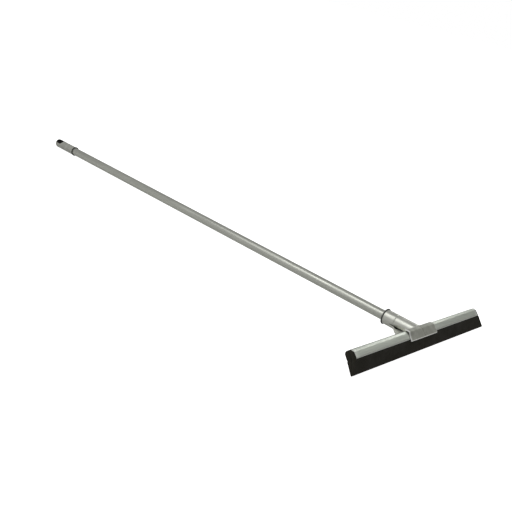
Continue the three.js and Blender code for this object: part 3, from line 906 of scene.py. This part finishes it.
# %% Set the finishes
along_y = (1, 0.012, 1)
along_x = (0.012, 1, 1)
even = (1, 1, 1)
drawn_aluminium = finish(
    "drawn_aluminium", (0.505, 0.515, 0.465), (0.605, 0.615, 0.555), 0.75, (0.29, 0.41),
    (drawn_lines, 900, along_y), (smudges, 14, even), (drawn_lines, 1400, along_y, 0.00003))
bright_zinc = finish(
    "bright_zinc", (0.59, 0.60, 0.545), (0.71, 0.72, 0.655), 0.8, (0.28, 0.40),
    (drawn_lines, 700, along_y), (smudges, 22, even), (drawn_lines, 1200, along_y, 0.00003))
# The last tone lightens cut edges: worn metal with a painted highlight.
dull_zinc = finish(
    "dull_zinc", (0.35, 0.357, 0.309), (0.412, 0.419, 0.366), 0.6, (0.46, 0.6),
    (smudges, 90, even), (smudges, 30, even), (fine_grain, 900, even, 0.00006), (0.95, 0.95, 0.92))
# The brace is the socket's zinc, painted lighter and less metallic to lift the shade in the pocket under the
# socket.
shade_lifted_zinc = finish(
    "shade_lifted_zinc", (0.62, 0.63, 0.57), (0.74, 0.75, 0.68), 0.6, (0.42, 0.56),
    (smudges, 70, even), (smudges, 30, even), (fine_grain, 900, even, 0.00005))
# The last tone lightens cut edges: worn metal with a painted highlight.
galvanised = finish(
    "galvanised", (0.45, 0.48, 0.425), (0.53, 0.56, 0.49), 0.8, (0.24, 0.36),
    (drawn_lines, 260, (0.06, 1, 1)), (smudges, 40, along_x), (fine_grain, 900, (0.3, 1, 1), 0.00003),
    (0.9, 0.92, 0.87))
# Its third tone, nearly black, is painted shade in the slot and round the cap's mouth.
grey_plastic = finish(
    "grey_plastic", (0.37, 0.375, 0.335), (0.43, 0.435, 0.395), 0.0, (0.42, 0.52),
    (smudges, 60, even), (smudges, 30, even), (fine_grain, 1500, even, 0.00005), (0.03, 0.031, 0.028))
dark_plastic = finish(
    "dark_plastic", (0.085, 0.088, 0.08), (0.12, 0.123, 0.112), 0.0, (0.4, 0.5),
    (smudges, 80, even), (smudges, 40, even), (fine_grain, 1800, even, 0.00005))
foam_rubber = finish(
    "foam_rubber", (0.0162, 0.0148, 0.0095), (0.0252, 0.023, 0.0158), 0.0, (0.8, 0.95),
    (fine_grain, 500, even), (smudges, 50, even), (open_pores, 1300, even, 0.00015))
foam_rubber.node_tree.nodes["Principled BSDF"].inputs["Specular IOR Level"].default_value = 0.3
screw_zinc = finish(
    "screw_zinc", (0.5, 0.51, 0.5), (0.6, 0.6, 0.58), 0.9, (0.25, 0.35),
    (smudges, 300, even), (smudges, 200, even), (fine_grain, 2000, even, 0.00002))

# %% [markdown]
# Each piece takes one finish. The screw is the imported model's own node: its shape is right, so only
# its finish changes.

# %% Give every piece its finish
finishes = [
    (handle, drawn_aluminium), (cap, grey_plastic), (bush, dark_plastic), (socket, bright_zinc),
    (plate, dull_zinc), (brace, shade_lifted_zinc), (rail, galvanised), (front_lip, foam_rubber),
    (rear_lip, foam_rubber),
]
for piece, material in finishes:
    piece.data.materials.append(material)
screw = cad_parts["handle_screw"]
for spot in screw.material_slots:
    spot.material = screw_zinc
print("finished", len(finishes) + 1, "pieces")

# %% [markdown]
# ## Studio
# A white floor, a room that is brighter on the left, and four soft boxes. Two long ones on the
# left give the highlight on the handle and the socket. Two small ones on the right give the light
# band along the channel's shoulder and the channel's front. Brushed metal shows what it mirrors, so
# each box stands where the surface that needs it looks. The floor and the room are white for the
# camera alone, and the metal mirrors them as a mid grey.

# %% Floor and light
floor_size = 120.0
ends = np.array([-floor_size, floor_size])
x, y = np.meshgrid(ends, ends)
floor_points = np.stack([x, y, 0 * x], axis=-1).reshape(-1, 3)
floor_mesh = bpy.data.meshes.new("floor")
floor_mesh.from_pydata(floor_points.tolist(), [], [(0, 1, 3, 2)])
floor = bpy.data.objects.new("floor", floor_mesh)
bpy.context.scene.collection.objects.link(floor)

pale = bpy.data.materials.new("pale_floor")
pale.use_nodes = True
nodes, links = pale.node_tree.nodes, pale.node_tree.links
shader = nodes["Principled BSDF"]
shader.inputs["Base Color"].default_value = (0.8, 0.8, 0.8, 1)
shader.inputs["Roughness"].default_value = 0.9
shader.inputs["Emission Color"].default_value = (1, 1, 1, 1)
path = nodes.new("ShaderNodeLightPath")
lift = nodes.new("ShaderNodeMath")
lift.operation = "MULTIPLY"
lift.inputs[1].default_value = 1.0
links.new(path.outputs["Is Camera Ray"], lift.inputs[0])
links.new(lift.outputs["Value"], shader.inputs["Emission Strength"])
floor.data.materials.append(pale)

world = bpy.data.worlds.new("studio")
world.use_nodes = True
nodes, links = world.node_tree.nodes, world.node_tree.links
direction = nodes.new("ShaderNodeTexCoord")
axes = nodes.new("ShaderNodeSeparateXYZ")
sweep = nodes.new("ShaderNodeMapRange")
sweep.inputs["From Min"].default_value, sweep.inputs["From Max"].default_value = -0.5, -0.95
sweep.inputs["To Min"].default_value, sweep.inputs["To Max"].default_value = 0.325, 0.62
path = nodes.new("ShaderNodeLightPath")
room = nodes.new("ShaderNodeMath")
room.operation = "MAXIMUM"
links.new(direction.outputs["Generated"], axes.inputs["Vector"])
links.new(axes.outputs["X"], sweep.inputs["Value"])
links.new(sweep.outputs["Result"], room.inputs[0])
links.new(path.outputs["Is Camera Ray"], room.inputs[1])
links.new(room.outputs["Value"], nodes["Background"].inputs["Strength"])
nodes["Background"].inputs["Color"].default_value = (1, 1, 1, 1)
bpy.context.scene.world = world


def soft_box(name, place, aim, size, power):
    """A rectangular light at a place, turned toward the point that it is aimed at."""
    lamp = bpy.data.lights.new(name, "AREA")
    lamp.shape = "RECTANGLE"
    lamp.size, lamp.size_y = size
    lamp.energy = power
    light = bpy.data.objects.new(name, lamp)
    away = np.array(place) - np.array(aim)
    back = away / np.linalg.norm(away)
    right = np.cross([0, 1, 0], back)
    right /= np.linalg.norm(right)
    turn = Matrix([*zip(right, np.cross(back, right), back)])
    light.matrix_world = Matrix.Translation(place) @ turn.to_4x4()
    light.visible_camera = False
    bpy.context.scene.collection.objects.link(light)
    return light


head_place = (0, -0.73, 0.04)
lights = [
    soft_box("key_box", (-1.6, 0.5, 1.7), (0, -0.2, 0), (1.0, 1.8), 7.2),
    soft_box("top_box", (-0.9, 0.3, 2.0), (0, -0.2, 0), (0.6, 1.8), 7.7),
    soft_box("far_box", (1.54, -0.23, 1.22), head_place, (0.7, 0.45), 3.2),
    soft_box("near_box", (1.52, -1.28, 1.22), head_place, (0.7, 0.45), 1.7),
]
bpy.context.scene.view_settings.view_transform = "Standard"
print("lights:", [(light.name, round(light.data.energy, 2)) for light in lights])
